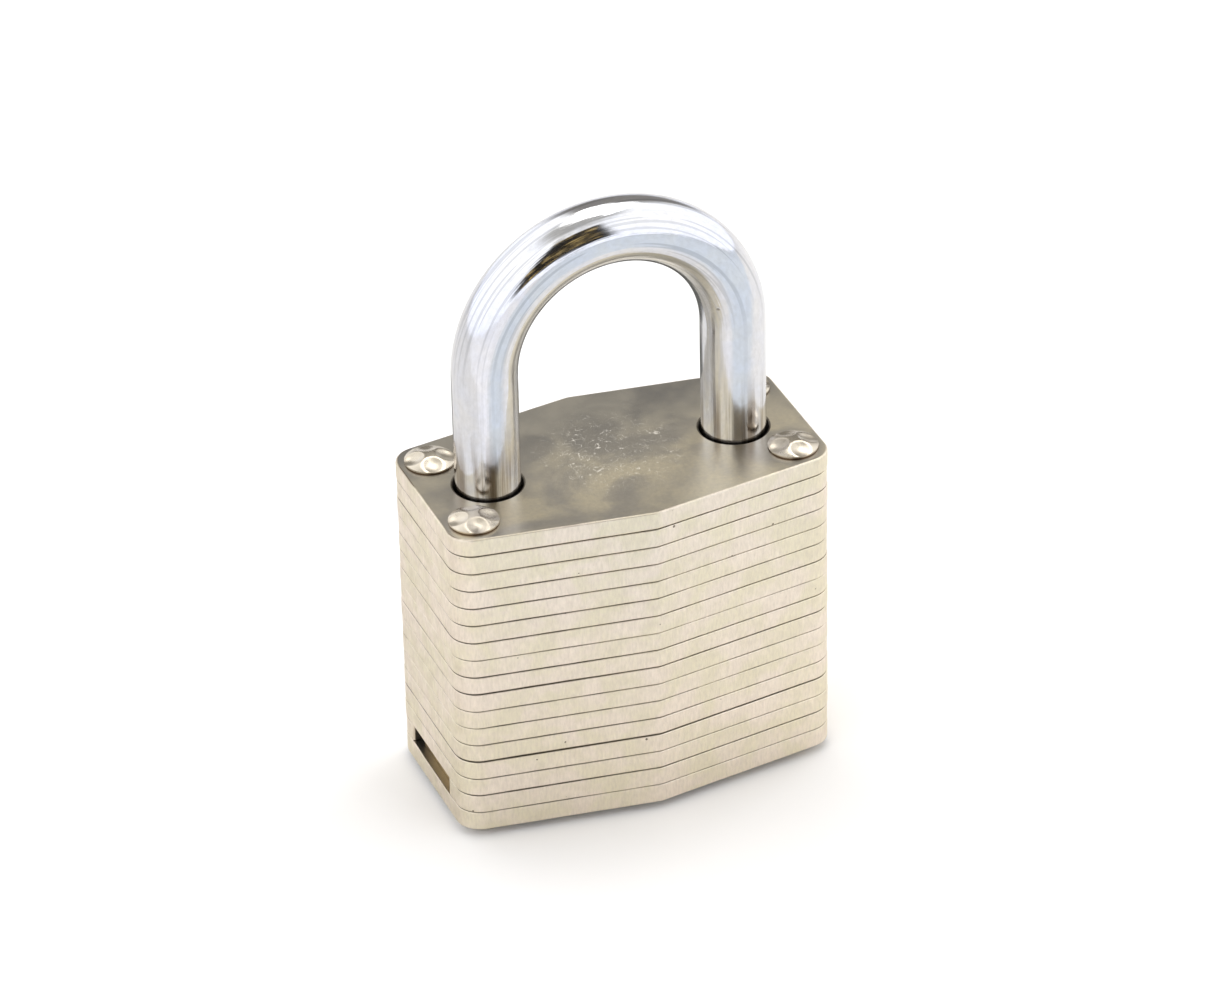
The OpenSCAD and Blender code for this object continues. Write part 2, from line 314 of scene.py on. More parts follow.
def node(tree, kind, inputs=None, **settings):
    """Add a node. An input takes a value, or the socket that feeds it."""
    made = tree.nodes.new(kind)
    for key, value in settings.items():
        setattr(made, key, value)
    for key, value in (inputs or {}).items():
        if isinstance(value, bpy.types.NodeSocket):
            tree.links.new(value, made.inputs[key])
        else:
            made.inputs[key].default_value = value
    return made


def calc(tree, operation, a, b=0.0, c=0.0, clamp=False):
    """One step of arithmetic on numbers or sockets."""
    made = node(tree, "ShaderNodeMath", {0: a, 1: b, 2: c}, operation=operation, use_clamp=clamp)
    return made.outputs[0]


def plus(tree, a, b):
    return calc(tree, "ADD", a, b)


def minus(tree, a, b, clamp=False):
    return calc(tree, "SUBTRACT", a, b, clamp=clamp)


def times(tree, a, b, clamp=False):
    return calc(tree, "MULTIPLY", a, b, clamp=clamp)


def coordinate(tree, vector, index):
    """One coordinate of a vector: 0 for X, 1 for Y, 2 for Z."""
    return node(tree, "ShaderNodeSeparateXYZ", {0: vector}).outputs[index]


def flat_length(tree, x, y):
    """Distance from the Z axis."""
    return calc(tree, "SQRT", plus(tree, times(tree, x, x), times(tree, y, y)))


def fractal(tree, vector, scale, detail=2.0, roughness=0.5, distortion=0.0):
    """Noise over a vector; its Fac or its Color is the pattern."""
    settings = {"Vector": vector, "Scale": scale, "Detail": detail}
    settings.update({"Roughness": roughness, "Distortion": distortion})
    return node(tree, "ShaderNodeTexNoise", settings)


def span(tree, value, low, high, to_low=0.0, to_high=1.0, smooth=True):
    """Stretch a value from low..high to to_low..to_high, with soft ends."""
    made = node(
        tree,
        "ShaderNodeMapRange",
        {"Value": value, "From Min": low, "From Max": high, "To Min": to_low, "To Max": to_high},
        interpolation_type="SMOOTHSTEP" if smooth else "LINEAR",
    )
    return made.outputs["Result"]


def mix(tree, share, a, b):
    return node(tree, "ShaderNodeMix", {0: share, 6: a, 7: b}, data_type="RGBA").outputs[2]


def coat(tree, base, mask, strength, colour):
    """Lay a colour over the base where the mask is, at that strength."""
    return mix(tree, times(tree, mask, strength), base, colour)


def grey(value):
    return (value, value, value, 1.0)


def open_group(name, output, **numbers):
    """Start a shader group that takes a Vector and these numbers, and gives one value.

    Gives back the group, its inner inputs and the socket for its result.
    """
    group = bpy.data.node_groups.new(name, "ShaderNodeTree")
    group.interface.new_socket("Vector", in_out="INPUT", socket_type="NodeSocketVector")
    for label, default in numbers.items():
        kind = "NodeSocketVector" if isinstance(default, tuple) else "NodeSocketFloat"
        group.interface.new_socket(label, in_out="INPUT", socket_type=kind).default_value = default
    group.interface.new_socket(output, in_out="OUTPUT", socket_type="NodeSocketFloat")
    enter, leave = group.nodes.new("NodeGroupInput"), group.nodes.new("NodeGroupOutput")
    return group, enter.outputs, leave.inputs[0]


def use(tree, group, **inputs):
    """Place a group in a tree. Underscores in an input's name stand for spaces."""
    values = {key.replace("_", " "): value for key, value in inputs.items()}
    return node(tree, "ShaderNodeGroup", values, node_tree=bpy.data.node_groups[group]).outputs[0]


def build_groups():
    """The surface effects that several finishes share."""
    g, i, o = open_group("grain", "Value", Stretch=(1, 1, 1), Scale=1.0, Detail=3.0)
    stretched = node(
        g, "ShaderNodeVectorMath", {0: i["Vector"], 1: i["Stretch"]}, operation="MULTIPLY"
    )
    speckle = fractal(g, stretched.outputs[0], i["Scale"], detail=i["Detail"], roughness=0.6)
    g.links.new(span(g, speckle.outputs["Fac"], 0.25, 0.75, smooth=False), o)

    g, i, o = open_group("pits", "Mask", Scale=1.0, Size=0.2, Share=0.1)
    ragged = fractal(g, i["Vector"], 6.0, detail=2.0)
    pushed = node(
        g,
        "ShaderNodeVectorMath",
        {0: ragged.outputs["Color"], 1: (0.12, 0.12, 0.12), 2: i["Vector"]},
        operation="MULTIPLY_ADD",
    )
    cells = node(g, "ShaderNodeTexVoronoi", {"Vector": pushed.outputs[0], "Scale": i["Scale"]})
    chance = node(g, "ShaderNodeSeparateColor", {"Color": cells.outputs["Color"]})
    chosen = calc(g, "LESS_THAN", chance.outputs[0], i["Share"])
    size = times(g, i["Size"], chance.outputs[1])
    inner = times(g, size, 0.55)
    round_spot = span(g, cells.outputs["Distance"], inner, size, 1.0, 0.0)
    g.links.new(times(g, chosen, round_spot), o)

    g, i, o = open_group("hairlines", "Mask", Scale=1.0, Width=0.01, Share=0.5)
    curls = fractal(g, i["Vector"], i["Scale"], detail=1.0, distortion=1.1)
    off = calc(g, "ABSOLUTE", minus(g, curls.outputs["Fac"], 0.5))
    line = span(g, off, 0.0, i["Width"], 1.0, 0.0)
    rest = fractal(g, i["Vector"], times(g, i["Scale"], 1.7), detail=1.0)
    shown = calc(g, "LESS_THAN", rest.outputs["Fac"], i["Share"])
    g.links.new(times(g, line, shown), o)

    g, i, o = open_group("patina", "Value", Scale=0.2, Contrast=0.2)
    clouds = fractal(g, i["Vector"], i["Scale"], detail=4.0, roughness=0.52, distortion=0.4)
    low = minus(g, 0.5, i["Contrast"])
    high = plus(g, 0.5, i["Contrast"])
    g.links.new(span(g, clouds.outputs["Fac"], low, high), o)


def start_material(name, roughness, metallic=1.0, attribute=None):
    """New material with its shader and millimetre coordinates: (material, tree, shader, vector)."""
    material = bpy.data.materials.new(name)
    material.use_nodes = True
    tree = material.node_tree
    shader = tree.nodes["Principled BSDF"]
    shader.inputs["Metallic"].default_value = metallic
    shader.inputs["Roughness"].default_value = roughness
    if attribute:
        place = node(tree, "ShaderNodeAttribute", attribute_name=attribute).outputs["Vector"]
        return material, tree, shader, place
    place = node(tree, "ShaderNodeTexCoord").outputs["Object"]
    place = node(
        tree, "ShaderNodeMapping", {"Vector": place, "Scale": (1 / MM, 1 / MM, 1 / MM)}
    ).outputs[0]
    return material, tree, shader, place


def dress(tree, shader, base, rough, height, depth_mm):
    """Give the shader its colour, its roughness and a bump of that depth in millimetres."""
    depth = depth_mm * MM
    bump = node(tree, "ShaderNodeBump", {"Strength": 1.0, "Distance": depth, "Height": height})
    for made, label in ((base, "Base Color"), (rough, "Roughness"), (bump.outputs[0], "Normal")):
        tree.links.new(made, shader.inputs[label])


def rgba(colour):
    return (colour[0], colour[1], colour[2], 1.0)


def shade(colour, factor):
    return (colour[0] * factor, colour[1] * factor, colour[2] * factor, 1.0)


def edge_finish(colour):
    """Nickel on the outer edges of the plates: upright shear grain, pits, dirt with painted shade
    in the rolls.
    """
    material, tree, shader, place = start_material("plate_edge_nickel", 0.42)
    tone = node(tree, "ShaderNodeAttribute", attribute_name="tone").outputs["Fac"]
    dirt_and_shade = node(tree, "ShaderNodeAttribute", attribute_name="dirt_and_shade").outputs["Fac"]
    fine = use(tree, "grain", Vector=place, Stretch=(3.4, 3.4, 1.0), Scale=1.2, Detail=4.0)
    broad = use(tree, "patina", Vector=place, Scale=0.09, Contrast=0.22)
    spots = use(tree, "pits", Vector=place, Scale=0.62, Size=0.11, Share=0.3)
    warm = shade((colour[0], colour[1] * 0.99, colour[2] * 0.96), 1.02)
    base = mix(tree, broad, shade(colour, 0.97), warm)
    toned = mix(tree, calc(tree, "MULTIPLY_ADD", tone, 0.5, 0.5), shade(colour, 0.9), rgba(colour))
    base = mix(tree, 0.5, base, toned)
    patches = use(tree, "patina", Vector=place, Scale=0.28, Contrast=0.14)
    yellow = (colour[0] * 0.93, colour[1] * 0.95, colour[2] * 0.78, 1)
    pink = (min(1.0, colour[0] * 1.08), colour[1] * 1.04, colour[2] * 1.06, 1)
    base = mix(tree, 0.55, base, mix(tree, patches, yellow, pink))
    base = coat(tree, base, fine, 0.55, shade(colour, 0.71))
    base = coat(tree, base, spots, 0.85, (0.10, 0.075, 0.05, 1))
    handled = use(tree, "patina", Vector=place, Scale=0.7, Contrast=0.16)
    across = coordinate(tree, place, 0)
    handled = times(tree, handled, span(tree, across, -19.6, -19.0, 0.16, 0.06))
    base = mix(tree, handled, base, (0.42, 0.33, 0.23, 1))
    # Painted shade with dirt: the rolls between plates darken, unevenly and more towards the left
    uneven = use(tree, "patina", Vector=place, Scale=0.14, Contrast=0.14)
    share = times(tree, span(tree, uneven, 0, 1, 0.3, 1), span(tree, across, -17, 4, 3.2, 0.9))
    soiled_and_shaded = times(tree, dirt_and_shade, share, clamp=True)
    base = mix(tree, soiled_and_shaded, base, (0.09, 0.055, 0.03, 1))
    rough = span(tree, fine, 0.0, 1.0, 0.34, 0.5, smooth=False)
    rough = plus(tree, rough, times(tree, soiled_and_shaded, 0.3))
    height = minus(tree, fine, times(tree, spots, 2.5))
    dress(tree, shader, base, rough, height, 0.012)
    return material


def flat_finish(colour):
    """Satin face of a plate: clouded nickel with rubbed patches, curled hairlines, pits and painted
    shade towards the back.
    """
    material, tree, shader, place = start_material("plate_face_nickel", 0.34)
    clouds = use(tree, "patina", Vector=place, Scale=0.15, Contrast=0.13)
    fine = use(tree, "grain", Vector=place, Stretch=(1, 1, 1), Scale=2.4, Detail=5.0)
    rubbed = use(tree, "patina", Vector=place, Scale=0.32, Contrast=0.18)
    lines = use(tree, "hairlines", Vector=place, Scale=0.9, Width=0.012, Share=0.56)
    spot = node(tree, "ShaderNodeSeparateXYZ", {0: place})
    from_middle = flat_length(tree, spot.outputs[0], spot.outputs[1])
    lines = times(tree, lines, span(tree, from_middle, 4, 9, 1.0, 0.0))
    spots = use(tree, "pits", Vector=place, Scale=0.3, Size=0.08, Share=0.07)
    depth = coordinate(tree, place, 1)
    dull = (colour[0] * 0.36, colour[1] * 0.39, colour[2] * 0.48, 1)
    bluish = (colour[0] * 0.84, colour[1] * 0.86, colour[2] * 0.93, 1)
    base = mix(tree, clouds, bluish, (colour[0] * 1.08, colour[1] * 1.05, colour[2] * 0.94, 1))
    # Painted shade: the face darkens towards the back
    base = mix(tree, span(tree, depth, -5, 9, 0.0, 0.75), base, dull)
    base = coat(tree, base, rubbed, 0.22, shade(colour, 1.05))
    base = coat(tree, base, fine, 0.35, shade(colour, 0.62))
    base = coat(tree, base, lines, 0.6, (0.98, 0.95, 0.87, 1))
    base = mix(tree, spots, base, (0.05, 0.04, 0.03, 1))
    rough = mix(tree, clouds, grey(0.31), grey(0.38))
    rough = mix(tree, times(tree, lines, 0.55), rough, grey(0.85))
    height = minus(tree, fine, times(tree, spots, 3.0))
    dress(tree, shader, base, rough, height, 0.003)
    return material


def bore_finish():
    """Bare cut steel inside the holes, dulled by oil."""
    material, tree, shader, place = start_material("plate_bore_steel", 0.5)
    fine = use(tree, "grain", Vector=place, Stretch=(4.0, 4.0, 0.8), Scale=1.0, Detail=3.0)
    film = use(tree, "patina", Vector=place, Scale=0.3, Contrast=0.25)
    base = mix(tree, film, (0.10, 0.085, 0.06, 1), (0.26, 0.235, 0.19, 1))
    base = coat(tree, base, fine, 0.4, (0.06, 0.05, 0.04, 1))
    rough = span(tree, fine, 0.0, 1.0, 0.42, 0.62)
    dress(tree, shader, base, rough, fine, 0.02)
    return material


def shackle_finish(colour):
    """Bright plating on the bar: lengthwise drawing marks, milky patches, a few dents and painted
    reflections.
    """
    material, tree, shader, place = start_material("shackle_plating", 0.1, attribute="bar")
    drawn = use(tree, "grain", Vector=place, Stretch=(1.0, 1.0, 0.035), Scale=1.1, Detail=3.0)
    milky = use(tree, "patina", Vector=place, Scale=0.16, Contrast=0.2)
    specks = use(tree, "grain", Vector=place, Stretch=(1, 1, 0.6), Scale=2.6, Detail=5.0)
    tint = use(tree, "patina", Vector=place, Scale=0.42, Contrast=0.2)
    spots = use(tree, "pits", Vector=place, Scale=0.42, Size=0.13, Share=0.14)
    blue = (colour[0] * 0.93, colour[1] * 0.96, colour[2] * 1.04, 1)
    base = mix(tree, times(tree, milky, 0.6), rgba(colour), shade(colour, 0.93))
    base = coat(tree, base, tint, 0.8, blue)
    base = coat(tree, base, specks, 0.6, shade(colour, 0.72))
    # Painted reflection: thin grey arcs along the bar, stronger higher up
    reflected_arcs = use(tree, "grain", Vector=place, Stretch=(1.0, 1.0, 0.02), Scale=2.0, Detail=1.0)
    where = node(tree, "ShaderNodeTexCoord").outputs["Object"]
    lift = coordinate(tree, where, 2)
    reflected_arcs = times(tree, span(tree, reflected_arcs, 0.6, 0.68), span(tree, lift, 0.046, 0.055, 0.15, 0.6))
    base = mix(tree, reflected_arcs, base, (0.45, 0.46, 0.49, 1))
    # Painted reflection: dark brown streaks low on the legs, next to the plates
    foot = span(tree, lift, 0.036, 0.0435, 0.75, 0.0)
    foot = times(tree, foot, span(tree, drawn, 0.35, 0.7))
    base = mix(tree, foot, base, (0.2, 0.15, 0.1, 1))
    base = coat(tree, base, spots, 0.7, (0.2, 0.19, 0.2, 1))
    rough = span(tree, milky, 0.0, 1.0, 0.07, 0.15)
    rough = calc(tree, "MULTIPLY_ADD", specks, 0.05, rough)
    height = calc(tree, "MULTIPLY_ADD", specks, 0.08, drawn)
    height = minus(tree, height, times(tree, spots, 0.8))
    dress(tree, shader, base, rough, height, 0.022)
    return material


def rivet_finish(colour):
    """Bright nickel on the heads: rubbed tops, painted shade in the dimples, dirt with painted
    shade round the foot.
    """
    material, tree, shader, place = start_material("rivet_nickel_bright", 0.25)
    height = coordinate(tree, place, 2)
    # Painted shade with dirt: a dark brown band where the head meets the top plate
    above = minus(tree, height, box_mm(plate_name(PLATES))[1].z)
    ring = times(tree, span(tree, above, 0.05, 0.26, 1.0, 0.0), span(tree, above, -0.2, -0.1))
    film = use(tree, "patina", Vector=place, Scale=0.5, Contrast=0.2)
    fine = use(tree, "grain", Vector=place, Stretch=(1, 1, 1), Scale=3.0, Detail=4.0)
    spots = use(tree, "pits", Vector=place, Scale=0.9, Size=0.14, Share=0.12)
    base = mix(tree, film, shade(colour, 0.86), rgba(colour))
    base = coat(tree, base, fine, 0.2, shade(colour, 0.62))
    base = coat(tree, base, spots, 0.8, (0.08, 0.06, 0.04, 1))
    hollow = node(tree, "ShaderNodeAttribute", attribute_name="hollow").outputs["Fac"]
    # Painted shade round the shallow edge of each dimple
    dimple_shade = times(tree, span(tree, hollow, 0.0, 0.2), span(tree, hollow, 0.25, 0.7, 1.0, 0.0))
    base = coat(tree, base, dimple_shade, 0.12, (0.2, 0.155, 0.1, 1))
    base = mix(tree, ring, base, (0.12, 0.075, 0.04, 1))
    rough = span(tree, film, 0.0, 1.0, 0.26, 0.34)
    dress(tree, shader, base, rough, minus(tree, fine, times(tree, spots, 2.0)), 0.004)
    return material


def metal_finish(name, colour, dark, roughness, stretch, scale, depth):
    """Finish of a small inner part: mottled metal with its machining marks."""
    material, tree, shader, place = start_material(name, roughness)
    marks = use(tree, "grain", Vector=place, Stretch=stretch, Scale=scale, Detail=3.0)
    film = use(tree, "patina", Vector=place, Scale=0.35, Contrast=0.25)
    spots = use(tree, "pits", Vector=place, Scale=0.8, Size=0.15, Share=0.1)
    base = mix(tree, film, rgba(dark), rgba(colour))
    base = coat(tree, base, marks, 0.25, shade(colour, 0.6))
    base = coat(tree, base, spots, 0.7, shade(dark, 0.3))
    low, high = roughness * 0.8, roughness * 1.25
    rough = span(tree, marks, 0.0, 1.0, low, high)
    dress(tree, shader, base, rough, minus(tree, marks, spots), depth)
    return material


def turned_finish(name, colour, dark, roughness, pitch):
    """Turned part on the Z axis: rings from the lathe on its ends and round its sides."""
    material, tree, shader, place = start_material(name, roughness)
    parts = node(tree, "ShaderNodeSeparateXYZ", {0: place})
    radius = flat_length(tree, parts.outputs[0], parts.outputs[1])
    along = plus(tree, radius, parts.outputs[2])
    line = node(tree, "ShaderNodeCombineXYZ", {0: along}).outputs[0]
    marks = use(tree, "grain", Vector=line, Stretch=(1, 1, 1), Scale=1 / pitch, Detail=3.0)
    film = use(tree, "patina", Vector=place, Scale=0.3, Contrast=0.25)
    spots = use(tree, "pits", Vector=place, Scale=0.7, Size=0.14, Share=0.12)
    base = mix(tree, film, rgba(dark), rgba(colour))
    base = coat(tree, base, marks, 0.2, shade(colour, 0.65))
    base = coat(tree, base, spots, 0.6, shade(dark, 0.35))
    low, high = roughness * 0.8, roughness * 1.2
    rough = span(tree, marks, 0.0, 1.0, low, high)
    dress(tree, shader, base, rough, minus(tree, marks, spots), 0.01)
    return material


# ---- repeated pieces ----------------------------------------------------------------------


def open_tree(name, inputs):
    """Start a geometry tree whose inputs carry sizes, and give it back with its end nodes."""
    tree = bpy.data.node_groups.new(name, "GeometryNodeTree")
    tree.interface.new_socket("Geometry", in_out="INPUT", socket_type="NodeSocketGeometry")
    for label, kind, default in inputs:
        made = tree.interface.new_socket(label, in_out="INPUT", socket_type=kind)
        if default is not None:
            made.default_value = default
    tree.interface.new_socket("Geometry", in_out="OUTPUT", socket_type="NodeSocketGeometry")
    return tree, tree.nodes.new("NodeGroupInput"), tree.nodes.new("NodeGroupOutput")


def bake(name, tree, values):
    """Run a geometry tree on an empty mesh with its inputs set, and keep the plain mesh."""
    carrier = bpy.data.objects.new(name + "_carrier", bpy.data.meshes.new(name + "_carrier"))
    bpy.context.scene.collection.objects.link(carrier)
    modifier = carrier.modifiers.new("build", "NODES")
    modifier.node_group = tree
    sockets = {s.name: s.identifier for s in tree.interface.items_tree if s.in_out == "INPUT"}
    for label, value in values.items():
        modifier[sockets[label]] = value
    bpy.context.view_layer.update()
    depsgraph = bpy.context.evaluated_depsgraph_get()
    mesh = bpy.data.meshes.new_from_object(carrier.evaluated_get(depsgraph), depsgraph=depsgraph)
    mesh.name = name
    bpy.data.objects.remove(carrier)
    if not mesh.polygons:
        raise ValueError("the tree of %s gave no faces" % name)
    return mesh


def lifted(tree, geometry, height, kind="GeometryNodeTransform", label="Translation"):
    """Geometry moved up by a height, as a whole or, with a Set Position node, point by point."""
    up = node(tree, "ShaderNodeCombineXYZ", {2: height}).outputs[0]
    return node(tree, kind, {"Geometry": geometry, label: up}).outputs[0]


def close_tree(tree, geometry, finish, leave):
    """Make the instances real, give them their finish and end the tree."""
    real = node(tree, "GeometryNodeRealizeInstances", {0: geometry}).outputs[0]
    done = node(tree, "GeometryNodeSetMaterial", {"Geometry": real, "Material": finish})
    tree.links.new(done.outputs[0], leave.inputs[0])
    return tree


def head_height(tree, x, y, sizes):
    """Height of the domed head over its rim at a point, with the four dimples pressed in."""
    far = flat_length(tree, x, y)
    part = calc(tree, "DIVIDE", far, sizes["Head Radius"])
    fall = calc(tree, "POWER", calc(tree, "MINIMUM", part, 1.0), 2.6)
    dome = times(tree, minus(tree, 1.0, fall), sizes["Dome Rise"])
    ax, ay = calc(tree, "ABSOLUTE", x), calc(tree, "ABSOLUTE", y)
    long_way, short_way = calc(tree, "MAXIMUM", ax, ay), calc(tree, "MINIMUM", ax, ay)
    centre = times(tree, sizes["Head Radius"], sizes["Dimple Place"])
    reach = minus(tree, long_way, centre)
    gap = flat_length(tree, reach, short_way)
    share = calc(tree, "DIVIDE", gap, sizes["Dimple Radius"])
    bowl = minus(tree, 1.0, times(tree, share, share), clamp=True)
    bowl = calc(tree, "POWER", bowl, 1.3)
    return minus(tree, dome, times(tree, bowl, sizes["Dimple Depth"])), bowl


def rivet_tree():
    """Rivets on a two by two grid: domed and dimpled above, pressed flat below."""
    labels = [
        ("Across", 0.0336),
        ("Front to Back", 0.0119),
        ("Head Radius", 0.0025),
        ("Rim Height", 0.0003),
        ("Dome Rise", 0.0006),
        ("Dimple Place", 0.64),
        ("Dimple Radius", 0.00108),
        ("Dimple Depth", 0.00036),
        ("Shank Radius", 0.0015),
        ("Stack Bottom", 0.0009),
        ("Stack Height", 0.034),
    ]
    inputs = [(label, "NodeSocketFloat", value) for label, value in labels]
    tree, enter, leave = open_tree("rivet_set", inputs + [("Finish", "NodeSocketMaterial", None)])
    sizes = {label: enter.outputs[label] for label, _ in labels}

    def drum(radius, depth, rings, place):
        made = node(
            tree,
            "GeometryNodeMeshCylinder",
            {
                "Vertices": 72,
                "Side Segments": 1,
                "Fill Segments": rings,
                "Radius": radius,
                "Depth": depth,
            },
            fill_type="NGON" if rings == 1 else "TRIANGLE_FAN",
        )
        return lifted(tree, made.outputs["Mesh"], place)

    # Upper head, with its underside on z = 0
    rim = sizes["Rim Height"]
    upper = drum(sizes["Head Radius"], rim, 22, times(tree, rim, 0.5))
    position = node(tree, "GeometryNodeInputPosition").outputs[0]
    place = node(tree, "ShaderNodeSeparateXYZ", {0: position})
    x, y, z = place.outputs[0], place.outputs[1], place.outputs[2]
    upward = calc(tree, "GREATER_THAN", z, 0.00001)
    height, bowl = head_height(tree, x, y, sizes)
    raised = times(tree, height, upward)
    upper = node(
        tree,
        "GeometryNodeStoreNamedAttribute",
        {"Geometry": upper, "Name": "hollow", "Value": times(tree, bowl, upward)},
    ).outputs[0]
    upper = lifted(tree, upper, raised, "GeometryNodeSetPosition", "Offset")
    top = plus(tree, sizes["Stack Bottom"], sizes["Stack Height"])
    upper = lifted(tree, upper, top)

    # Lower head, rounded off towards the ground
    low = sizes["Stack Bottom"]
    lower = drum(sizes["Head Radius"], low, 22, times(tree, low, 0.5))
    far = flat_length(tree, x, y)
    part = calc(tree, "DIVIDE", far, sizes["Head Radius"])
    soft = calc(tree, "POWER", part, 9.0)
    soft = times(tree, times(tree, soft, low), 0.35)
    soft = times(tree, soft, calc(tree, "LESS_THAN", z, 0.00001))
    lower = lifted(tree, lower, soft, "GeometryNodeSetPosition", "Offset")

    middle = calc(tree, "MULTIPLY_ADD", sizes["Stack Height"], 0.5, low)
    shank = drum(sizes["Shank Radius"], sizes["Stack Height"], 1, middle)

    whole = node(tree, "GeometryNodeJoinGeometry")
    for part in (shank, lower, upper):
        tree.links.new(part, whole.inputs[0])
    places = node(
        tree,
        "GeometryNodeMeshGrid",
        {
            "Size X": sizes["Across"],
            "Size Y": sizes["Front to Back"],
            "Vertices X": 2,
            "Vertices Y": 2,
        },
    )
    turn = node(
        tree,
        "FunctionNodeRandomValue",
        {"Min": (0, 0, -0.2), "Max": (0, 0, 0.2), "Seed": 4},
        data_type="FLOAT_VECTOR",
    )
    many = node(
        tree,
        "GeometryNodeInstanceOnPoints",
        {
            "Points": places.outputs["Mesh"],
            "Instance": whole.outputs[0],
            "Rotation": turn.outputs[0],
        },
    )
    return close_tree(tree, many.outputs[0], enter.outputs["Finish"], leave)


def coil_tree():
    """Round wire wound along a helix between two seats."""
    inputs = [
        ("Coil Radius", "NodeSocketFloat", 0.001),
        ("Wire Radius", "NodeSocketFloat", 0.0002),
        ("Length", "NodeSocketFloat", 0.005),
        ("Turns", "NodeSocketFloat", 5.0),
        ("Start", "NodeSocketVector", (0, 0, 0)),
        ("Turned", "NodeSocketRotation", None),
        ("Finish", "NodeSocketMaterial", None),
    ]
    tree, enter, leave = open_tree("coil_spring", inputs)
    helix = node(
        tree,
        "GeometryNodeCurveSpiral",
        {
            "Resolution": 40,
            "Rotations": enter.outputs["Turns"],
            "Start Radius": enter.outputs["Coil Radius"],
            "End Radius": enter.outputs["Coil Radius"],
            "Height": enter.outputs["Length"],
        },
    )
    wire = node(
        tree,
        "GeometryNodeCurvePrimitiveCircle",
        {"Resolution": 14, "Radius": enter.outputs["Wire Radius"]},
    )
    skin = node(
        tree,
        "GeometryNodeCurveToMesh",
        {"Curve": helix.outputs[0], "Profile Curve": wire.outputs[0], "Fill Caps": True},
    )
    laid = node(
        tree,
        "GeometryNodeTransform",
        {
            "Geometry": skin.outputs[0],
            "Translation": enter.outputs["Start"],
            "Rotation": enter.outputs["Turned"],
        },
    )
    return close_tree(tree, laid.outputs[0], enter.outputs["Finish"], leave)


# ---- sizes and colours --------------------------------------------------------------------


def length_property(name, description, default):
    return FloatProperty(name=name, description=description, default=default, subtype="DISTANCE")


def angle_property(name, description, degrees):
    value = math.radians(degrees)
    return FloatProperty(name=name, description=description, default=value, subtype="ANGLE")


def colour_property(name, description, default):
    return FloatVectorProperty(
        name=name, description=description, default=default, size=3, min=0, max=1, subtype="COLOR"
    )


class PadlockSizes(bpy.types.PropertyGroup):
    """Sizes of the finished pieces. Those that the frame already fixes are read from it."""

    end_depth: length_property("End depth", "Depth of a plate at its two ends", 0.0177)
    corner_radius: length_property("Corner radius", "Radius of the upright corners", 0.0026)
    ridge_radius: length_property(
        "Ridge radius", "Radius of the soft ridge down the front and back", 0.002
    )
    leg_hole: length_property("Leg hole", "Diameter of the leg holes", 0.0072)
    rivet_hole: length_property("Rivet hole", "Diameter of the rivet holes", 0.0031)
    roll: length_property("Edge roll", "Radius of the rolled edge of a plate", 0.00014)
    head_rim: length_property("Rivet rim", "Height of the rim of a rivet head", 0.0003)
    coil_turns: IntProperty(
        name="Coil turns", description="Turns of each spring", default=4, min=2, max=12
    )


class PadlockColours(bpy.types.PropertyGroup):
    """Base colours of the metals."""

    edge: colour_property("Plate edge", "Nickel on the edges of the plates", (0.9, 0.82, 0.7))
    face: colour_property("Plate face", "Nickel on the flat faces", (0.68, 0.625, 0.515))
    shackle: colour_property("Shackle", "Plating of the shackle", (0.8, 0.8, 0.815))
    rivet: colour_property("Rivet", "Nickel on the rivets", (0.7, 0.635, 0.53))
    brass: colour_property("Brass", "Cylinder and plug", (0.72, 0.53, 0.25))
    steel: colour_property("Steel", "Dogs, cam and clip", (0.46, 0.45, 0.43))


class PadlockStudio(bpy.types.PropertyGroup):
    """Camera, light and floor."""

    azimuth: angle_property("Azimuth", "Camera's angle round the lock", -21.75)
    elevation: angle_property("Elevation", "Camera's angle above the floor", 32.51)
    roll: angle_property("Roll", "Camera's tilt", -1.22)
    distance: length_property("Distance", "From the camera to its target", 0.6218)
    lens: FloatProperty(
        name="Lens", description="Focal length", default=186.1, subtype="DISTANCE_CAMERA"
    )
    target: FloatVectorProperty(
        name="Target",
        description="Point that the camera looks at",
        default=(-0.00011, 0, 0.02957),
        subtype="XYZ",
    )
    light: FloatProperty(
        name="Light", description="Brightness of the surroundings", default=1.45, min=0
    )


# ---- operators ----------------------------------------------------------------------------


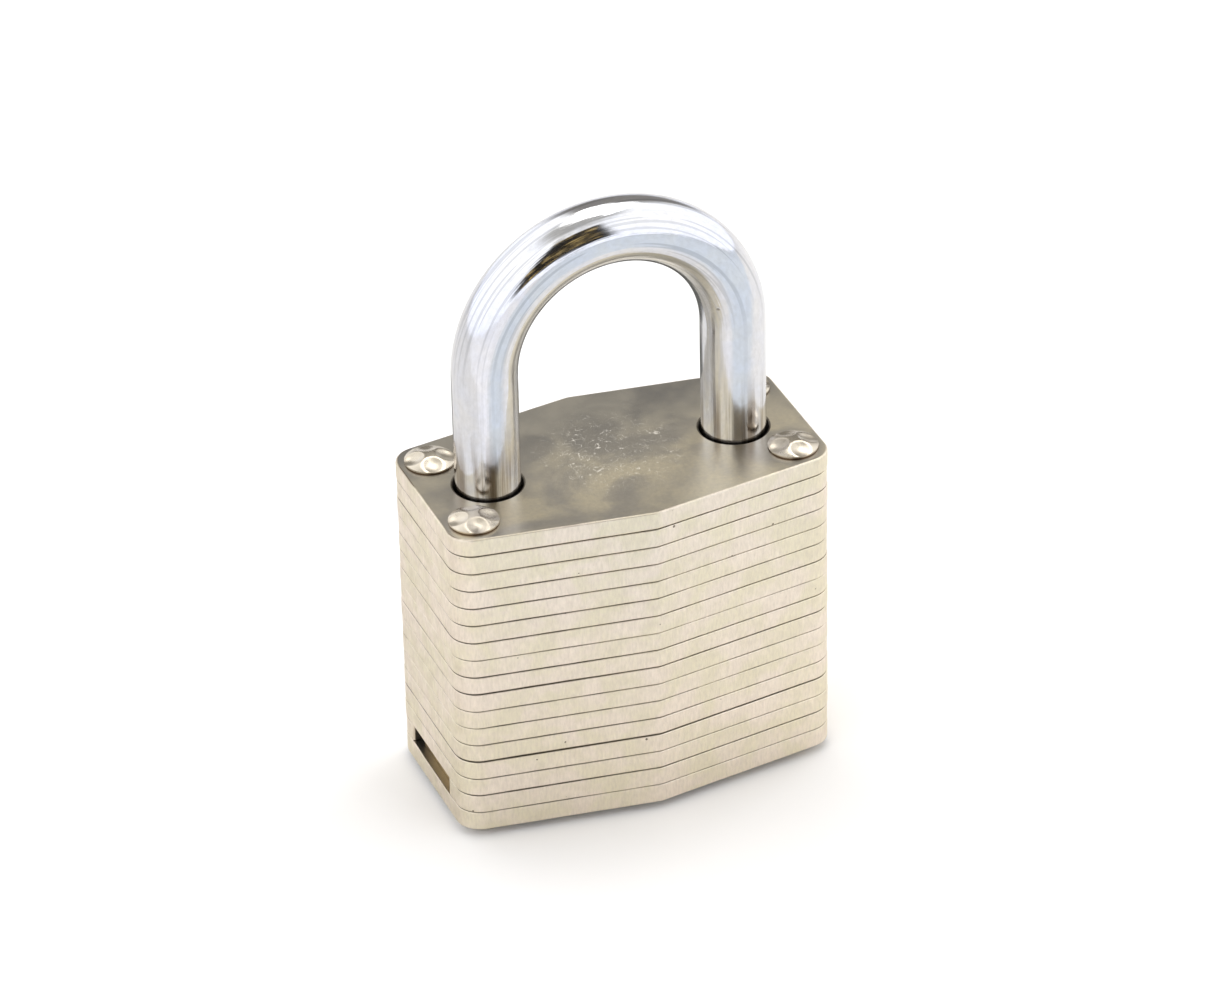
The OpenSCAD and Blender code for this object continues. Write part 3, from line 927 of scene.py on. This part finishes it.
class PADLOCK_OT_plates(bpy.types.Operator):
    """Stack of stamped plates with rolled edges, one piece each"""

    bl_idname = "padlock.plates"
    bl_label = "Plates"

    def execute(self, context):
        sizes, colours = context.scene.padlock_sizes, context.scene.padlock_colours
        finishes = [flat_finish(colours.face), edge_finish(colours.edge), bore_finish()]
        low, high = box_mm(plate_name(1))
        half_width, ridge = high.x, high.y
        end = sizes.end_depth / MM / 2
        corner = sizes.corner_radius / MM
        slope = math.atan2(ridge - end, half_width)
        hole_r = sizes.leg_hole / MM / 2
        bar_high = box_mm("shackle")[1]
        leg_x = bar_high.x - bar_high.y
        dog_low, dog_high = box_mm("locking_dog_left")
        locked_tip = -dog_low.x + travel_mm("dog_left_slide")
        house_low, house_high = box_mm("cylinder_housing")
        rivet_low, rivet_high = box_mm("rivet_back_right")
        rivet_x = (rivet_low.x + rivet_high.x) / 2
        rivet_y = (rivet_low.y + rivet_high.y) / 2
        plug_r = box_mm("drive_cam")[1].x
        # Room round the cylinder, beyond the ends of the dogs and along their sides
        room, end_room, side_room = 0.1, 0.25, 0.3

        def plan(inset, wave, seed):
            r = corner - inset
            cx = half_width - inset - r
            cy = end - inset + r * math.tan(slope) - r / math.cos(slope)
            arc = [
                (cx + r * math.cos(a), cy + r * math.sin(a))
                for a in (i * (math.pi / 2 - slope) / 8 for i in range(9))
            ]
            soft = sizes.ridge_radius / MM
            top = ridge - inset - soft * (1 / math.cos(slope) - 1)
            bend = [
                (soft * math.sin(a), top - soft * (1 - math.cos(a)))
                for a in (slope * (1 - i / 3) for i in range(4))
            ]
            start, stop = Vector(arc[-1]), Vector(bend[0])
            run = [tuple(start.lerp(stop, i / 16)) for i in range(1, 16)]
            quarter = arc + run + bend
            back = quarter + [(-x, y) for x, y in reversed(quarter[:-1])]
            whole = back + [(x, -y) for x, y in reversed(back)]
            out = []
            for x, y in whole:
                push = 1 - wave * (0.5 + 0.5 * noise.noise(Vector((x * 0.35, y * 0.35, seed)))) / 12
                out.append((x * push, y * push))
            return out

        rivet_holes = [
            ring_points(sx * rivet_x, sy * rivet_y, sizes.rivet_hole / MM / 2, 28)
            for sx in (-1, 1)
            for sy in (-1, 1)
        ]
        left, right = ring_points(-leg_x, 0, hole_r), ring_points(leg_x, 0, hole_r)
        pocket = ring_points(0, 0, house_high.x + room, 96)
        bx, by, block_root = house_low.x - room, 2.7, -3
        block = [(bx, -by), (block_root, -by), (block_root, by), (bx, by)]
        flat_x = locked_tip - 0.05
        rise = math.acos((flat_x - leg_x) / hole_r)
        d_hole = [
            (leg_x + hole_r * math.cos(a), hole_r * math.sin(a))
            for a in (-rise + 2 * rise * i / 48 for i in range(49))
        ]
        reach = locked_tip + end_room
        wide = (dog_high.y if dog_high.y > 6 else -dog_low.y) + side_room
        chamber = [(-reach, -wide), (reach, -wide), (reach, wide), (-reach, wide)]
        front, rear, outside, deep = -4.6, 5.3, -half_width - 1, -0.5
        window = [(outside, front), (deep, front), (deep, rear), (outside, rear)]

        # Depth of the gap, and of its line of dirt and painted shade, under each plate, from the
        # lowest up: some sit tight, some gape
        gaps = (0.0, 0.04, 0.14, 0.05, 0.17, 0.05, 0.08, 0.05, 0.15)
        gaps += (0.08, 0.05, 0.06, 0.10, 0.06, 0.11, 0.05, 0.15)
        roll = sizes.roll / MM
        core = plan(0.5, 0, 0)

        def in_bore(p):
            return inside(p, core)

        for k in range(1, PLATES + 1):
            holes = list(rivet_holes)
            if k <= HOUSING_TOP:
                holes += [pocket, block]
            if k >= SLOT_PLATE and k != FOOT_PLATE:
                holes.append(right)
            if k == FOOT_PLATE:
                holes += [d_hole, ring_points(0, 0, plug_r + 0.5)]
            if k >= CAM_PLATE:
                holes.append(left)
            if k == CAM_PLATE:
                holes.append(ring_points(0, 0, 6.2))
            if k in DOG_PLATES:
                holes.append(chamber)
            if k == SLOT_PLATE:
                holes.append(window)
            if k == PLATES:
                snug = hole_r * 0.965
                holes[-2:] = [ring_points(leg_x, 0, snug), ring_points(-leg_x, 0, snug)]
            dice = random.Random(40 + k)
            inset = 0.01 + 0.07 * dice.random()
            outer = plan(inset, 0.02, k * 7.3)
            loops = region(outer, holes)
            name = plate_name(k)
            low, high = box_mm(name)
            gap = gaps[k - 1]
            mesh = slab(
                name,
                loops,
                z0=low.z + gap * 0.5,
                z1=high.z - 0.004,
                roll_low=roll * (0.6 + 5 * gap),
                roll_high=roll * (1.4 if k == PLATES else 0.7),
                wobble=0.02,
                tone=dice.uniform(-1, 1),
                bore_test=in_bore,
            )
            for finish in finishes:
                mesh.materials.append(finish)
            publish("stamped_" + name, mesh, "body", [name])
        return {"FINISHED"}


class PADLOCK_OT_rivets(bpy.types.Operator):
    """Four rivets through the stack, with dimpled upper heads"""

    bl_idname = "padlock.rivets"
    bl_label = "Rivets"

    def execute(self, context):
        sizes, colours = context.scene.padlock_sizes, context.scene.padlock_colours
        low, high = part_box("rivet_back_right")
        stack_low, stack_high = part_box(plate_name(1))[0].z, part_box(plate_name(PLATES))[1].z
        radius = (high.x - low.x) / 2
        finish = rivet_finish(colours.rivet)
        values = {
            "Across": low.x + high.x,
            "Front to Back": low.y + high.y,
            "Head Radius": radius,
            "Rim Height": sizes.head_rim,
            "Dome Rise": high.z - stack_high - sizes.head_rim,
            "Stack Bottom": stack_low,
            "Stack Height": stack_high - stack_low,
            "Finish": finish,
        }
        mesh = bake("dimpled_rivets", rivet_tree(), values)
        mesh.polygons.foreach_set("use_smooth", [True] * len(mesh.polygons))
        mesh.set_sharp_from_angle(angle=math.radians(38))
        publish("dimpled_rivets", mesh, "body", RIVETS)
        return {"FINISHED"}


class PADLOCK_OT_shackle(bpy.types.Operator):
    """Bent bar with a toe notch on one leg, and a flat, neck and foot on the other"""

    bl_idname = "padlock.shackle"
    bl_label = "Shackle"

    def execute(self, context):
        colours = context.scene.padlock_colours
        low, high = box_mm("shackle")
        r = high.y
        leg_x = high.x - r
        bend_z = high.z - leg_x - r
        dog_low, dog_high = box_mm("locking_dog_left")
        notch_low, notch_high = dog_low.z - 0.3, dog_high.z + 0.3
        flat = leg_x - (-dog_low.x + travel_mm("dog_left_slide") + 0.3)
        toe = notch_low - 2.4
        foot_top = low.z + 2.3
        neck_top = foot_top + 2.6
        neck, throat = 1.4, 1.65
        # Above the notches, where the bar is round again
        round_again = notch_high + 0.25

        def tip(z):
            steps = ((0, 0.62), (0.1, 0.42), (0.6, 0.05), (0.75, 0))
            return [(z + up, r - less, None) for up, less in steps]

        def leg(side, rows):
            axis = Vector((side, 0, 0))
            return [(Vector((side * leg_x, 0, z)), axis, radius, cut) for z, radius, cut in rows]

        upper = [(round_again + (bend_z - round_again) * i / 14, r, None) for i in range(14)]
        heel = tip(low.z) + [
            (foot_top - 0.15, r, None),
            (foot_top, r - 0.15, None),
            (foot_top, throat, None),
            (foot_top + 0.08, 1.48, None),
            (foot_top + 0.25, neck, None),
            (foot_top + 1.3, neck, None),
            (neck_top - 0.25, neck, flat),
            (neck_top - 0.08, 1.48, flat),
            (neck_top, throat, flat),
            (neck_top, r - 0.15, flat),
        ]
        full = neck_top + 0.15
        heel += [(full + (notch_high - full) * i / 8, r, flat) for i in range(9)] + upper
        toes = tip(toe) + [(notch_low - 0.2, r, None), (notch_low, r, flat), (notch_high, r, flat)]
        toes += upper
        bend = []
        steps = 120
        for i in range(steps + 1):
            t = math.pi * i / steps
            axis = Vector((math.cos(t), 0, math.sin(t)))
            bend.append((Vector((0, 0, bend_z)) + axis * leg_x, axis, r, None))
        rings = leg(1, heel) + bend + list(reversed(leg(-1, toes)))
        mesh = tube("bent_shackle", rings)
        mesh.materials.append(shackle_finish(colours.shackle))
        publish("bent_shackle", mesh, "shackle", ["shackle"])
        return {"FINISHED"}


class PADLOCK_OT_springs(bpy.types.Operator):
    """Coil springs of the pins, the dogs and the shackle"""

    bl_idname = "padlock.springs"
    bl_label = "Springs"

    def execute(self, context):
        sizes = context.scene.padlock_sizes
        finish = metal_finish(
            "spring_wire", (0.52, 0.51, 0.49), (0.3, 0.29, 0.27), 0.28, (1, 1, 1), 3.0, 0.004
        )
        tree = coil_tree()
        names = ["shackle_spring", "dog_spring_left", "dog_spring_right"]
        names += ["pin_spring_%d" % i for i in range(1, 5)]
        for name in names:
            low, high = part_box(name)
            upright = name == "shackle_spring"
            wire = 0.00035 if upright else 0.00017
            outer = (high.y - low.y) / 2
            centre = (low + high) / 2
            length = (high.z - low.z if upright else high.x - low.x) - 2 * wire
            start = Vector((centre.x, centre.y, low.z + wire))
            turned = (0, 0, 0)
            if not upright:
                start = Vector((low.x + wire, centre.y, centre.z))
                turned = (0, math.pi / 2, 0)
            values = {
                "Coil Radius": outer - wire,
                "Wire Radius": wire,
                "Length": length,
                "Turns": float(sizes.coil_turns),
                "Start": tuple(start),
                "Turned": turned,
                "Finish": finish,
            }
            mesh = bake("wound_" + name, tree, values)
            mesh.polygons.foreach_set("use_smooth", [True] * len(mesh.polygons))
            mesh.set_sharp_from_angle(angle=math.radians(50))
            spring = publish("wound_" + name, mesh, "body", [name])
            if name.startswith("pin_spring"):
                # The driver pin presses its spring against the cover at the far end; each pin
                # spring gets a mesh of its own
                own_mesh(spring)
        return {"FINISHED"}


class PADLOCK_OT_lock_work(bpy.types.Operator):
    """Finishes of the cylinder, pins, cam, dogs and retainer, whose shapes come from the frame"""

    bl_idname = "padlock.lock_work"
    bl_label = "Lock Work"

    def execute(self, context):
        colours = context.scene.padlock_colours
        brass, steel = tuple(colours.brass), tuple(colours.steel)
        old_brass = tuple(c * 0.55 for c in brass)
        old_steel = tuple(c * 0.55 for c in steel)
        across = (0.4, 3.0, 3.0)
        finishes = {
            "cylinder_housing": turned_finish("housing_brass_turned", brass, old_brass, 0.34, 0.5),
            "cylinder_plug": turned_finish("plug_brass_turned", brass, old_brass, 0.26, 0.35),
            "plug_clip": metal_finish("clip_steel", steel, old_steel, 0.35, across, 1.0, 0.01),
            "drive_cam": turned_finish("cam_steel_turned", steel, old_steel, 0.36, 0.4),
            "pin_cover": metal_finish("cover_brass", brass, old_brass, 0.38, across, 1.0, 0.01),
            "cylinder_retainer": metal_finish(
                "retainer_brass_dull", (0.5, 0.36, 0.17), (0.2, 0.13, 0.06), 0.42, across, 1.2, 0.02
            ),
        }
        dog = metal_finish("dog_steel_blanked", steel, old_steel, 0.4, (0.5, 0.5, 3.0), 1.4, 0.015)
        key_pin = metal_finish("key_pin_brass_bright", brass, old_brass, 0.24, across, 2.0, 0.005)
        nickel, old_nickel = (0.72, 0.7, 0.66), (0.5, 0.48, 0.44)
        driver = metal_finish("driver_nickel", nickel, old_nickel, 0.22, across, 2.0, 0.005)
        for side in ("left", "right"):
            finishes["locking_dog_" + side] = dog
        for i in range(1, 5):
            finishes["key_pin_%d" % i] = key_pin
            finishes["driver_pin_%d" % i] = driver
        for name, finish in finishes.items():
            for holder in frame["nodes"][name].material_slots:
                holder.material = finish
        return {"FINISHED"}


class PADLOCK_OT_studio(bpy.types.Operator):
    """Pale floor with painted reflections for the metal, soft surroundings, lamp and camera"""

    bl_idname = "padlock.studio"
    bl_label = "Studio"

    def execute(self, context):
        scene, studio = context.scene, context.scene.padlock_studio
        scene.view_settings.view_transform = "Standard"
        scene.view_settings.look = "None"

        floor = bpy.data.meshes.new("floor")
        side = 6.0
        corners = [(x * side, y * side, 0) for x, y in ((-1, -1), (1, -1), (1, 1), (-1, 1))]
        floor.from_pydata(corners, [], [(0, 1, 2, 3)])
        paper, tree, shader, place = start_material("floor_paper", 0.9, metallic=0.0)
        fibre = use(tree, "grain", Vector=place, Stretch=(1, 1, 1), Scale=0.8, Detail=3.0)
        base = mix(tree, times(tree, fibre, 0.1), (0.95, 0.945, 0.945, 1), (0.93, 0.92, 0.925, 1))
        mirrored = node(tree, "ShaderNodeLightPath").outputs["Is Glossy Ray"]
        # Painted reflection, seen by glossy rays only: what the metal mirrors of the floor, in
        # millimetres from the lock: paler to the right, bluish ahead of it, white ahead on the
        # left, and dark close behind it
        spot = node(tree, "ShaderNodeSeparateXYZ", {0: place})
        sx, sy = spot.outputs[0], spot.outputs[1]
        floor_reflection = mix(tree, span(tree, sx, -25, 35), (0.79, 0.775, 0.76, 1), (0.88, 0.865, 0.845, 1))
        near = times(tree, span(tree, sy, 12, 28), span(tree, sy, 74, 88, 1, 0))
        behind = times(tree, span(tree, sx, -30, -8), span(tree, sx, 40, 52, 1, 0))
        behind = times(tree, near, behind)
        ahead = times(tree, span(tree, sy, -45, -70), span(tree, sx, -45, -5))
        floor_reflection = mix(tree, ahead, floor_reflection, (0.7, 0.75, 0.8, 1))
        lit = times(tree, span(tree, sy, -45, -70), span(tree, sx, -18, -40))
        floor_reflection = mix(tree, lit, floor_reflection, (0.97, 0.96, 0.98, 1))
        floor_reflection = mix(tree, behind, floor_reflection, (0.09, 0.088, 0.078, 1))
        base = mix(tree, mirrored, base, floor_reflection)
        tree.links.new(base, shader.inputs["Base Color"])
        floor.materials.append(paper)
        sheet = bpy.data.objects.new("floor", floor)
        scene.collection.objects.link(sheet)

        scene.world = bpy.data.worlds.new("studio")
        scene.world.use_nodes = True
        surround(scene.world.node_tree, studio.light)

        def lamp(name, place, size, power, colour):
            data = bpy.data.lights.new(name, "AREA")
            data.shape = "RECTANGLE"
            data.size, data.size_y = size
            data.energy = power
            data.color = colour
            made = bpy.data.objects.new(name, data)
            made.location = place
            aim = Vector((0, 0, 0.02)) - Vector(place)
            made.rotation_mode = "QUATERNION"
            made.rotation_quaternion = aim.to_track_quat("-Z", "Y")
            scene.collection.objects.link(made)

        lamp("above", (0.2, 0.3, 0.9), (0.6, 0.6), 3.0, (1.0, 0.99, 0.97))

        a, e, tilt = studio.azimuth, studio.elevation, studio.roll
        back = Vector((math.sin(a) * math.cos(e), -math.cos(a) * math.cos(e), math.sin(e)))
        right = (-back).cross(Vector((0, 0, 1))).normalized()
        up = right.cross(-back)
        tilted_right = right * math.cos(tilt) + up * math.sin(tilt)
        tilted_up = up * math.cos(tilt) - right * math.sin(tilt)
        data = bpy.data.cameras.new("camera")
        data.lens = studio.lens
        data.sensor_width = 36
        data.clip_start, data.clip_end = 0.02, 50
        camera = bpy.data.objects.new("camera", data)
        turn = Matrix((tilted_right, tilted_up, back)).transposed().to_4x4()
        stand = Matrix.Translation(Vector(studio.target) + back * studio.distance)
        camera.matrix_world = stand @ turn
        scene.collection.objects.link(camera)
        scene.camera = camera
        return {"FINISHED"}


def surround(tree, strength):
    """White surroundings with a dark stand in front and a grey screen behind."""
    out = tree.nodes["World Output"]
    light = tree.nodes["Background"]
    way = node(tree, "ShaderNodeTexCoord").outputs["Generated"]
    parts = node(tree, "ShaderNodeSeparateXYZ", {0: way})
    x, y, z = parts.outputs[0], parts.outputs[1], parts.outputs[2]
    azimuth = calc(tree, "DEGREES", calc(tree, "ARCTAN2", x, times(tree, y, -1.0)))
    elevation = calc(tree, "DEGREES", calc(tree, "ARCSINE", z))

    def patch(centre, half, soft):
        across = calc(tree, "ABSOLUTE", minus(tree, azimuth, centre[0]))
        height = calc(tree, "ABSOLUTE", minus(tree, elevation, centre[1]))
        a = span(tree, across, half[0], half[0] + soft, 1.0, 0.0)
        b = span(tree, height, half[1], half[1] + soft, 1.0, 0.0)
        return times(tree, a, b)

    drawn_out = node(tree, "ShaderNodeVectorMath", {0: way, 1: (3, 3, 9)}, operation="MULTIPLY")
    streaks = fractal(tree, drawn_out.outputs[0], 1.5, detail=3.0).outputs["Fac"]
    white = mix(tree, span(tree, elevation, -5, 40), (0.95, 0.97, 1.04, 1), (1.0, 1.0, 1.0, 1))
    screen = patch((152, 38), (21, 28), 12)
    stand = patch((-5, 33), (20, 22), 6)
    glint = mix(tree, span(tree, streaks, 0.585, 0.65), (0.01, 0.009, 0.008, 1), (0.7, 0.5, 0.2, 1))
    ceiling = mix(tree, span(tree, elevation, 56, 74), white, (0.36, 0.355, 0.34, 1))
    colour = mix(tree, screen, ceiling, (0.2, 0.19, 0.175, 1))
    colour = mix(tree, stand, colour, glint)
    tree.links.new(colour, light.inputs["Color"])
    light.inputs["Strength"].default_value = strength
    tree.links.new(light.outputs[0], out.inputs["Surface"])


class PADLOCK_PT_panel(bpy.types.Panel):
    """Sidebar panel that lists the makers of the pieces"""

    bl_idname = "PADLOCK_PT_panel"
    bl_label = "Padlock"
    bl_space_type = "VIEW_3D"
    bl_region_type = "UI"
    bl_category = "Padlock"

    def draw(self, context):
        column = self.layout.column()
        for operator in OPERATORS:
            column.operator(operator.bl_idname)
        for group in ("padlock_sizes", "padlock_colours", "padlock_studio"):
            holder = getattr(context.scene, group)
            for name in holder.__annotations__:
                column.prop(holder, name)


GROUPS = (PadlockSizes, PadlockColours, PadlockStudio)
OPERATORS = (
    PADLOCK_OT_studio,
    PADLOCK_OT_plates,
    PADLOCK_OT_rivets,
    PADLOCK_OT_shackle,
    PADLOCK_OT_springs,
    PADLOCK_OT_lock_work,
)


def register():
    for item in GROUPS + OPERATORS + (PADLOCK_PT_panel,):
        bpy.utils.register_class(item)
    bpy.types.Scene.padlock_sizes = PointerProperty(type=PadlockSizes)
    bpy.types.Scene.padlock_colours = PointerProperty(type=PadlockColours)
    bpy.types.Scene.padlock_studio = PointerProperty(type=PadlockStudio)


def unregister():
    del bpy.types.Scene.padlock_sizes
    del bpy.types.Scene.padlock_colours
    del bpy.types.Scene.padlock_studio
    for item in reversed(GROUPS + OPERATORS + (PADLOCK_PT_panel,)):
        bpy.utils.unregister_class(item)


def main():
    register()
    build_groups()
    bpy.ops.padlock.studio()
    bpy.ops.padlock.plates()
    bpy.ops.padlock.rivets()
    bpy.ops.padlock.shackle()
    bpy.ops.padlock.springs()
    bpy.ops.padlock.lock_work()


if __name__ == "__main__":
    main()
